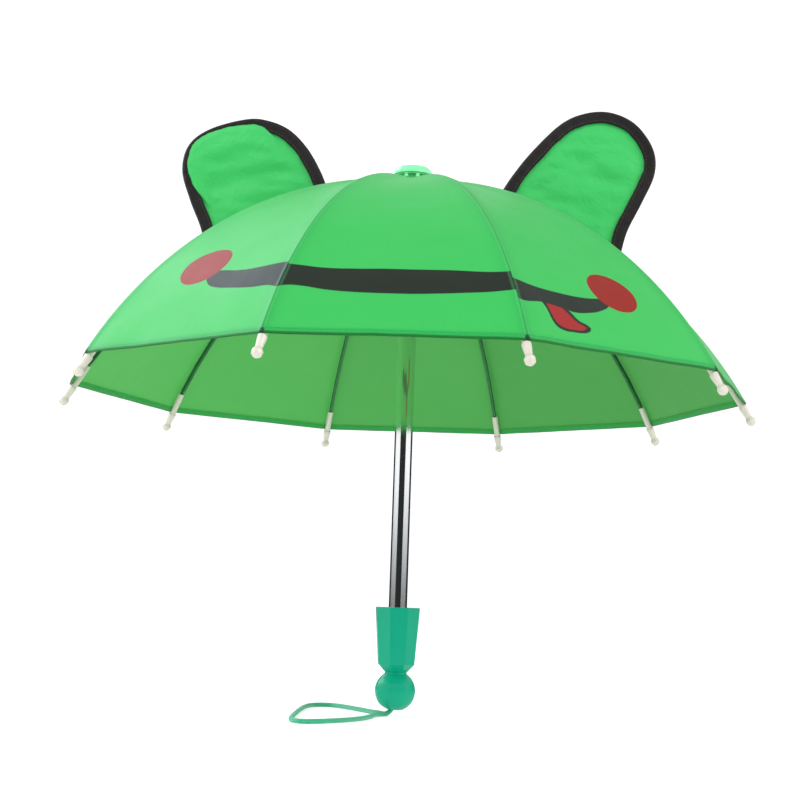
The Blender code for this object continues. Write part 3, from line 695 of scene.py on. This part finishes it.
def make_cover(looks):
    """Ten gores, each a run of strips on its rib's body. A strip that the closed rib would narrow gets its
    own copy of the mesh.
    """
    rows = cover_rows()
    grid = cover_grid(rows)
    normals = grid_normals(grid)
    angle = closing_angle()
    for rib in range(RIBS):
        number = f"{rib + 1:02d}"
        pair = [looks.get((rib + side) % RIBS, looks[None]) for side in (0, 1)]
        for strip in range(STRIPS):
            top = strip * ROWS_PER_STRIP
            bottom = top + ROWS_PER_STRIP
            if strip == STRIPS - 1:
                bottom = len(rows) - 1
            printed = rows[bottom][2] > PRINT_START and pair[0] is not pair[1]
            name = f"cover_{number}_{strip + 1:02d}"
            worn = pair if printed else [looks[None]]
            item = strip_mesh(name, grid, normals, rows, rib, top, bottom, worn)
            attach(item, f"rib_{number}_assembly")
            if strip == 0:
                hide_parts(f"gore_{number}")
            keep = closed_share(rows[top][0], angle)
            if keep < 0.999:
                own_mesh(item)


# ---------------------------------------------------------------- ears

def land_on_cover(point, along, lift):
    """Slide a point along a direction until it is a given lift above the seam arc."""
    spot = Vector(point)
    for _ in range(30):
        gap = math.hypot(spot.x - ARC_R, spot.y - ARC_Z) - ARC_RADIUS - lift
        outward = Vector((spot.x - ARC_R, spot.y - ARC_Z)).normalized()
        spot -= along * (gap / along.dot(outward))
    return spot


def set_down(spot, along, at_end):
    """The ends of an edge land on the cover, and so does a point that would lie inside it."""
    inside = math.hypot(spot.x - ARC_R, spot.y - ARC_Z) < ARC_RADIUS + EAR_GAP
    return land_on_cover(spot, along, EAR_GAP) if at_end or inside else spot


def ear_frames(outline, steps):
    """Points of the ear's edge with the direction along it and the direction inward."""
    edge, _ = curve_through([(x, z, 0.0) for x, z in outline], steps)
    edge = [Vector((p.x, p.y)) for p in edge]
    frames = []
    for i, p in enumerate(edge):
        along = (edge[min(i + 1, steps)] - edge[max(i - 1, 0)]).normalized()
        frames.append((p, along, Vector((along.y, -along.x))))
    return frames


def ear_puff(q, near, spot, seed):
    """Half thickness of the ear and how far the panel wanders sideways, near millimetres from its edge."""
    soft = Vector((spot.x, spot.y, seed)) / 15.0
    fine = Vector((spot.x * 0.55, spot.y * 1.5, seed + 40.0)) / 7.0
    wander = 1.1 * noise.noise(soft) + 0.75 * noise.noise(fine)
    folds = 0.35 * math.sin(spot.y * 0.42 + spot.x * 0.10 + 2.5 * noise.noise(soft * 0.8))
    rim = smoothstep((near - TAPE_WIDTH) / 8.0) * smoothstep(q / 0.10)
    return 0.35 + 0.75 * rim, (wander + folds) * rim


def between_stops(stops, x):
    """Value at x of a smooth line through (x, value) stops."""
    for (x0, y0), (x1, y1) in zip(stops, stops[1:]):
        if x <= x1:
            return y0 + (y1 - y0) * smoothstep((x - x0) / (x1 - x0))
    return stops[-1][1]


def ear_layer(outline, inset, seed, front):
    """One face of the ear as rows from the cover to the edge: (distance out, thickness side, height)."""
    frames = ear_frames(outline, EAR_COLUMNS)
    rows = []
    for i, (place, along, inward) in enumerate(frames):
        p = i / EAR_COLUMNS
        step = between_stops(inset, p) if front else 2.0
        edge = set_down(place + inward * step, along, i in (0, EAR_COLUMNS))
        rows.append((p, edge, smoothstep((TUCKED - step) / 1.6) if front else 0.0))
    ends = [math.asin((rows[i][1].x - ARC_R) / (ARC_RADIUS + EAR_GAP)) for i in (0, -1)]
    points = []
    for p, edge, over in rows:
        base = Vector(arc_at(ends[0] + (ends[1] - ends[0]) * p, -EAR_GAP))
        for k in range(EAR_ROWS + 1):
            q = k / EAR_ROWS
            spot = base.lerp(edge, q)
            near = min((spot - place).length for place, _, _ in frames)
            thick, wander = ear_puff(q, near, spot, seed)
            if over > 0.0:
                lift = ROLL_HEIGHT * over * smoothstep((q - 0.55) / 0.3)
                thick += lift * (1.0 - 0.5 * smoothstep((q - 0.94) / 0.06))
            points.append((spot, wander, thick))
    return points


def make_ear(name, outline, azimuth, body, node, look, seed, inset, front):
    """Soft double panel, gathered a little by its binding. Its front face can roll over the binding."""
    points = []
    uvs = []
    for side in (-1.0, 1.0):
        for spot, wander, thick in ear_layer(outline, inset, seed, side == front):
            points.append(radial(spot.x, wander + side * thick, spot.y, azimuth))
            uvs.append((spot.x * MM, spot.y * MM))
    tall = EAR_ROWS + 1
    layer = tall * (EAR_COLUMNS + 1)
    faces = []
    for i in range(EAR_COLUMNS):
        for k in range(EAR_ROWS):
            a = i * tall + k
            b = a + tall
            faces.append((a, a + 1, b + 1, b))
            faces.append((layer + a, layer + b, layer + b + 1, layer + a + 1))
        for k in (0, EAR_ROWS):
            a = i * tall + k
            b = a + tall
            faces.append((a, b, layer + b, layer + a) if k == 0 else (a, layer + a, layer + b, b))
    for k in range(EAR_ROWS):
        a = k
        faces.append((a, layer + a, layer + a + 1, a + 1))
        a = EAR_COLUMNS * tall + k
        faces.append((a, a + 1, layer + a + 1, layer + a))
    item = mesh_object(name, points, faces)
    lay_uv(item, uvs)
    item.data.materials.append(look)
    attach(item, body)
    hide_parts(node)


def make_tape(name, outline, azimuth, body, node, look, seed):
    """Binding folded over the ear's edge, a little uneven in width and puff."""
    steps = 150
    frames = ear_frames(outline, steps)
    upper = (
        (1.0, 0.95), (0.98, 1.45), (0.90, 1.60), (0.72, 1.45),
        (0.50, 1.70), (0.28, 1.80), (0.12, 1.55), (0.03, 1.0),
    )
    lower = tuple((n, -t) for n, t in reversed(upper))
    section = (*upper, (0.0, 0.0), *lower, (0.80, 0.0))
    points = []
    uvs = []
    run = 0.0
    for i, (p, along, inward) in enumerate(frames):
        if i:
            run += (p - frames[i - 1][0]).length
        wave = noise.noise(Vector((run / 11.0, seed, 0.0)))
        ripple = noise.noise(Vector((run / 3.2, seed, 5.0)))
        width = TAPE_WIDTH + 0.55 * wave
        swell = 1.0 + 0.14 * ripple
        for n, t in section:
            spot = set_down(p + inward * (n * width + 0.15 * ripple * n), along, i in (0, steps))
            points.append(radial(spot.x, t * swell, spot.y, azimuth))
            uvs.append((run * MM, n * width * MM))
    size = len(section)
    faces = []
    for i in range(steps):
        for k in range(size):
            m = (k + 1) % size
            faces.append((i * size + k, i * size + m, (i + 1) * size + m, (i + 1) * size + k))
    faces.append(tuple(range(size))[::-1])
    faces.append(tuple(steps * size + k for k in range(size)))
    item = mesh_object(name, points, faces)
    item.data.set_sharp_from_angle(angle=math.radians(60))
    lay_uv(item, uvs)
    item.data.materials.append(look)
    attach(item, body)
    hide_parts(node)


def ear_material():
    g = Graph("ear_taffeta")
    vector, x_m, y_m = g.uv("panel")
    x = g.millimetres(x_m)
    y = g.millimetres(y_m)
    cloud = g.noise(vector, 60.0, 3.0)
    colour = g.mix(g.math("MULTIPLY", cloud, 0.45), GREEN, GREEN_DEEP)
    crinkle = g.noise(vector, 170.0, 3.0, 0.55, 0.6)
    normal = g.bump(g.weave(x, y, WEAVE_PITCH), 0.00003, 0.6)
    normal = g.bump(crinkle, 0.0012, 0.5, normal)
    g.set(
        Base_Color=colour, Roughness=g.spread(cloud, 0.38, 0.55), Normal=normal,
        Sheen_Weight=0.20, Sheen_Roughness=0.45, Specular_IOR_Level=0.4,
    )
    return g.material


def tape_material():
    g = Graph("binding_satin")
    vector, run_m, n_m = g.uv("panel")
    run = g.millimetres(run_m)
    n = g.millimetres(n_m)
    cloud = g.noise(g.stretched(vector, (180.0, 420.0, 1.0)), 1.0, 3.0)
    colour = g.mix(cloud, (0.006, 0.004, 0.004), (0.020, 0.015, 0.015))
    stitch = g.both(g.above(n, 4.3, 0.12), g.below(n, 4.7, 0.12), g.dashes(run, 2.0, 0.6))
    colour = g.mix(g.math("MULTIPLY", stitch, 0.7), colour, (0.045, 0.038, 0.036))
    ribs = g.math("SINE", g.math("MULTIPLY", g.math("ADD", run, n), 2.0 * math.pi / 0.55))
    normal = g.bump(ribs, 0.00004, 0.7)
    normal = g.bump(g.noise(vector, 420.0, 2.0), 0.0004, 0.5, normal)
    g.set(
        Base_Color=colour, Roughness=g.spread(cloud, 0.45, 0.65), Normal=normal,
        Sheen_Weight=0.05, Sheen_Roughness=0.4, Specular_IOR_Level=0.22,
    )
    return g.material


# ---------------------------------------------------------------- hard materials

def plastic(name, colour, dark, roughness, coat, level=0.5, speckle=260.0, dent=0.00012):
    """Moulded plastic: faint flow marks in colour and gloss, and fine scuffs."""
    g = Graph(name)
    vector = g.coords("Object")
    flow = g.noise(g.stretched(vector, (40.0, 40.0, 18.0)), 1.0, 3.0, 0.5, 0.8)
    fine = g.noise(vector, speckle * 4.0, 3.0)
    scuffs = g.noise(g.stretched(vector, (300.0, 300.0, 60.0)), 1.0, 4.0, 0.65)
    tone = g.mix(g.math("MULTIPLY", flow, 0.7), colour, dark)
    low, high = roughness
    shine = g.math("ADD", g.spread(fine, low, high), g.math("MULTIPLY", scuffs, 0.06))
    g.set(
        Base_Color=tone, Roughness=shine, Normal=g.bump(g.math("ADD", fine, scuffs), dent, 0.35),
        Coat_Weight=coat, Coat_Roughness=0.12, IOR=1.5, Specular_IOR_Level=level,
    )
    return g.material


def chrome_material():
    g = Graph("shaft_plating")
    vector = g.coords("Object")
    drawn = g.noise(g.stretched(vector, (1600.0, 1600.0, 14.0)), 1.0, 3.0)
    haze = g.noise(g.stretched(vector, (60.0, 60.0, 25.0)), 1.0, 4.0)
    tone = g.mix(haze, (0.94, 0.95, 0.96), (0.84, 0.86, 0.87))
    g.set(
        Base_Color=tone, Metallic=1.0, Roughness=g.spread(g.math("ADD", haze, drawn), 0.02, 0.08),
        Normal=g.bump(drawn, 0.00002, 0.10),
    )
    return g.material


def steel_material():
    g = Graph("frame_wire_green_reflection")
    vector = g.coords("Object")
    grime = g.noise(vector, 120.0, 4.0, 0.6)
    drawn = g.noise(g.stretched(vector, (900.0, 900.0, 900.0)), 1.0, 2.0)
    # Painted reflection and shade: both wire tones are dark greens that stand in for the green cover seen
    # in the wire and the shade under the cover
    tone = g.mix(grime, (0.055, 0.230, 0.085), (0.020, 0.120, 0.040))
    g.set(
        Base_Color=tone, Metallic=0.6, Roughness=g.spread(grime, 0.35, 0.60),
        Normal=g.bump(g.math("ADD", drawn, grime), 0.00006, 0.4),
    )
    return g.material


def rosette_material():
    """Small fabric disc under the cap."""
    g = Graph("rosette_taffeta")
    vector = g.coords("Object")
    cloud = g.noise(vector, 90.0, 3.0)
    g.set(
        Base_Color=g.mix(cloud, GREEN, GREEN_DEEP), Roughness=g.spread(cloud, 0.42, 0.56),
        Normal=g.bump(g.noise(vector, 1500.0, 2.0), 0.00005, 0.6),
    )
    return g.material


BRAID_DARK = (0.006, 0.24, 0.12)
BRAID_LIGHT = (0.016, 0.52, 0.27)
BRAID_TURNS = 210.0
BRAID_STRANDS = 4.0


def knot_material():
    """The same braid as the strap, drawn tight."""
    g = Graph("knot_braid")
    vector = g.coords("Object")
    fuzz = g.noise(vector, 900.0, 3.0)
    g.set(
        Base_Color=g.mix(fuzz, BRAID_DARK, BRAID_LIGHT), Roughness=g.spread(fuzz, 0.5, 0.75),
        Normal=g.bump(fuzz, 0.00012, 0.8),
    )
    return g.material


def strap_material():
    g = Graph("strap_braid")
    along, around, _ = g.parts(g.coords("UV"))
    lengthwise = g.math("MULTIPLY", along, BRAID_TURNS * TURN)
    crosswise = g.math("MULTIPLY", around, BRAID_STRANDS * TURN)
    left = g.math("ADD", lengthwise, crosswise)
    right = g.math("SUBTRACT", lengthwise, crosswise)
    braid = g.math("MULTIPLY", g.math("SINE", left), g.math("SINE", right))
    fuzz = g.noise(g.coords("Object"), 700.0, 3.0)
    # Painted shade: the braid's grooves between strands are darker and its raised strands lighter
    lifted = g.math("ADD", g.math("MULTIPLY", braid, 0.5), 0.5, clamp=True)
    tone = g.mix(g.math("MULTIPLY", lifted, 0.8), BRAID_DARK, BRAID_LIGHT)
    tone = g.mix(g.math("MULTIPLY", fuzz, 0.35), tone, (0.04, 0.62, 0.34))
    g.set(
        Base_Color=tone, Roughness=g.spread(fuzz, 0.5, 0.75), Sheen_Weight=0.3, Sheen_Roughness=0.5,
        Normal=g.bump(g.math("ADD", braid, g.math("MULTIPLY", fuzz, 0.6)), 0.00012, 0.8),
    )
    return g.material


def dress_nodes(looks):
    """Gives the CAD nodes that stay their finish, and rounds the moulded edges."""
    for name, node in frame["nodes"].items():
        stem = name.rstrip("0123456789_")
        look = looks.get(name, looks.get(stem))
        if look is None:
            continue
        node.data.materials.clear()
        node.data.materials.append(look)
        if stem == "handle":
            soften(node, 0.0004, 25)
        if stem in ("top_cap", "runner", "crown_notch"):
            soften(node, 0.0002, 30)
        if stem == "tip":
            soften(node, 0.00045, 20)


def soften(node, width, degrees):
    """Rounds the edges sharper than an angle. Width in metres."""
    step = node.modifiers.new("rounded edges", "BEVEL")
    step.width = width
    step.segments = 3
    step.limit_method = "ANGLE"
    step.angle_limit = math.radians(degrees)
    step.harden_normals = True
    node.data.shade_smooth()


# ---------------------------------------------------------------- stage and light

def make_stage():
    """Pale floor that rises in a wide soft curve on every side."""
    steps = 96
    flat = 2.2
    bend = 1.4
    profile = [(0.0, 0.0), (0.4, 0.0), (0.9, 0.0), (1.5, 0.0), (flat, 0.0)]
    for k in range(1, 13):
        a = 0.5 * math.pi * k / 12.0
        profile.append((flat + bend * math.sin(a), bend - bend * math.cos(a)))
    profile.append((flat + bend, 3.0))
    points = [(0.0, 0.0, 0.0)]
    for radius, height in profile[1:]:
        for k in range(steps):
            a = TURN * k / steps
            points.append((radius * math.cos(a), radius * math.sin(a), height))
    faces = [(0, 1 + k, 1 + (k + 1) % steps) for k in range(steps)]
    for i in range(len(profile) - 2):
        for k in range(steps):
            a = 1 + i * steps + k
            b = 1 + i * steps + (k + 1) % steps
            faces.append((a, a + steps, b + steps, b))
    mesh = bpy.data.meshes.new("floor")
    mesh.from_pydata([(x, y, z + FLOOR_Z * MM) for x, y, z in points], [], faces)
    mesh.shade_smooth()
    floor = link(bpy.data.objects.new("floor", mesh))
    g = Graph("floor_paper")
    grain = g.noise(g.coords("Object"), 40.0, 3.0)
    paper = g.mix(grain, (0.52, 0.52, 0.52), (0.56, 0.56, 0.56))
    g.set(
        Base_Color=paper, Roughness=0.9, Specular_IOR_Level=0.1,
        Emission_Color=(1.0, 1.0, 1.0, 1.0), Emission_Strength=0.62,
    )
    mesh.materials.append(g.material)


LIGHT_TARGET = (0.0, 0.0, 0.12)


def area_light(name, place, target, size, power, colour=(1.0, 1.0, 1.0)):
    data = bpy.data.lights.new(name, "AREA")
    data.shape = "DISK"
    data.size = size
    data.energy = power
    data.color = colour
    lamp = link(bpy.data.objects.new(name, data))
    lamp.location = place
    lamp.rotation_mode = "QUATERNION"
    lamp.rotation_quaternion = (Vector(target) - Vector(place)).to_track_quat("-Z", "Y")


def for_mirrors(card):
    """Makes a card of the set show in reflections and nowhere else."""
    card.visible_camera = False
    card.visible_diffuse = False
    card.visible_shadow = False
    card.visible_transmission = False


def dark_flag(name, angle, width):
    """Dark card over the floor and up behind it. angle is its bearing round the object, 0 in front."""
    half = 0.5 * math.radians(width)
    steps = 8
    wide = steps + 1
    ground = FLOOR_Z * MM + 0.001
    away = 1.5
    profile = ((0.13, ground), (away, ground), (away, 0.55))
    points = []
    for distance, height in profile:
        for k in range(wide):
            a = angle + half * (2.0 * k / steps - 1.0)
            points.append((distance * math.sin(a), -distance * math.cos(a), height))
    faces = []
    for row in range(len(profile) - 1):
        for k in range(steps):
            a = row * wide + k
            faces.append((a, a + 1, a + wide + 1, a + wide))
    mesh = bpy.data.meshes.new(name)
    mesh.from_pydata(points, [], faces)
    g = Graph(name)
    felt = g.noise(g.coords("Object"), 300.0, 2.0)
    g.set(Base_Color=g.mix(felt, (0.004, 0.004, 0.004), (0.010, 0.010, 0.010)), Roughness=1.0)
    mesh.materials.append(g.material)
    for_mirrors(link(bpy.data.objects.new(name, mesh)))


def low_ring():
    """Grey band round the foot of the set that only mirrors see. It grows paler upwards."""
    steps = 64
    radius = 1.7
    top = 0.22
    points = []
    for height in (FLOOR_Z * MM, top):
        for k in range(steps):
            a = TURN * k / steps
            points.append((radius * math.cos(a), radius * math.sin(a), height))
    faces = [(k, (k + 1) % steps, steps + (k + 1) % steps, steps + k) for k in range(steps)]
    mesh = bpy.data.meshes.new("low_ring")
    mesh.from_pydata(points, [], faces)
    g = Graph("low_ring")
    height = g.math("DIVIDE", g.parts(g.coords("Object"))[2], top, clamp=True)
    felt = g.math("MULTIPLY", g.noise(g.coords("Object"), 300.0, 2.0), 0.05)
    grey = g.mix(g.math("ADD", height, felt), (0.10, 0.10, 0.10), (0.84, 0.84, 0.84))
    g.set(Base_Color=grey, Roughness=1.0)
    mesh.materials.append(g.material)
    for_mirrors(link(bpy.data.objects.new("low_ring", mesh)))


def make_light():
    """Soft studio: pale sky, a key from the front left, a fill from the right and a cool lamp behind."""
    world = bpy.data.worlds.new("studio")
    world.use_nodes = True
    back = world.node_tree.nodes["Background"]
    back.inputs[0].default_value = (1.0, 1.0, 1.0, 1.0)
    back.inputs[1].default_value = 0.44
    bpy.context.scene.world = world
    area_light("key", (-0.7, -1.0, 1.25), LIGHT_TARGET, 0.7, 7.0)
    area_light("fill", (1.1, -0.6, 0.9), LIGHT_TARGET, 0.8, 6.0)
    area_light("back", (-0.98, 0.50, 0.82), LIGHT_TARGET, 1.2, 15.0, (0.90, 1.0, 1.12))
    scene = bpy.context.scene
    scene.view_settings.view_transform = "Standard"
    scene.view_settings.look = "None"


# ---------------------------------------------------------------- the whole scene

make_camera()
make_strap(strap_material())

plain = cover_material("cover_plain", None)
make_cover({
    None: plain,
    0: cover_material("cover_face_middle", 0),
    1: cover_material("cover_face_right", 1),
    RIBS - 1: cover_material("cover_face_left", -1),
})

ear_look = ear_material()
tape_look = tape_material()
for side, outline, azimuth, rib, seed, inset, front in (
    ("right", EAR_RIGHT, 0.0, "03", 1.0, RIGHT_INSET, -1.0),
    ("left", EAR_LEFT, math.pi, "08", 21.0, LEFT_INSET, 1.0),
):
    body = f"rib_{rib}_assembly"
    make_ear(f"ear_panel_{side}", outline, azimuth, body, f"ear_{side}", ear_look, seed, inset, front)
    make_tape(f"ear_tape_{side}", outline, azimuth, body, f"ear_binding_{side}", tape_look, seed)

handle_look = plastic(
    "handle_gloss", (0.003, 0.380, 0.226), (0.002, 0.310, 0.184), (0.16, 0.26), 0.0,
    level=0.19, speckle=60.0, dent=0.00002,
)
cap_look = plastic("cap_gloss", (0.270, 0.920, 0.460), (0.215, 0.840, 0.400), (0.22, 0.36), 0.3)
white_look = plastic("white_moulding", (0.80, 0.78, 0.70), (0.70, 0.67, 0.58), (0.30, 0.45), 0.2)
tip_look = plastic("tip_moulding", (0.70, 0.67, 0.58), (0.58, 0.54, 0.45), (0.28, 0.44), 0.15)
# The frame wires carry a painted green reflection and painted shade in their base colour
wire_green_reflection_look = steel_material()
dress_nodes({
    "shaft_tube": chrome_material(),
    "handle": handle_look,
    "top_cap": cap_look,
    "crown_notch": white_look,
    "runner": white_look,
    "tip": tip_look,
    "rib": wire_green_reflection_look,
    "stretcher": wire_green_reflection_look,
    "crown_wire": wire_green_reflection_look,
    "runner_wire": wire_green_reflection_look,
    "top_catch_spring": wire_green_reflection_look,
    "canopy_rosette": rosette_material(),
    "strap_knot": knot_material(),
})
make_stage()
dark_flag("front_flag", 0.03, 76.0)
dark_flag("left_flag", math.radians(-135.0), 64.0)
dark_flag("right_flag", math.radians(135.0), 64.0)
low_ring()
make_light()
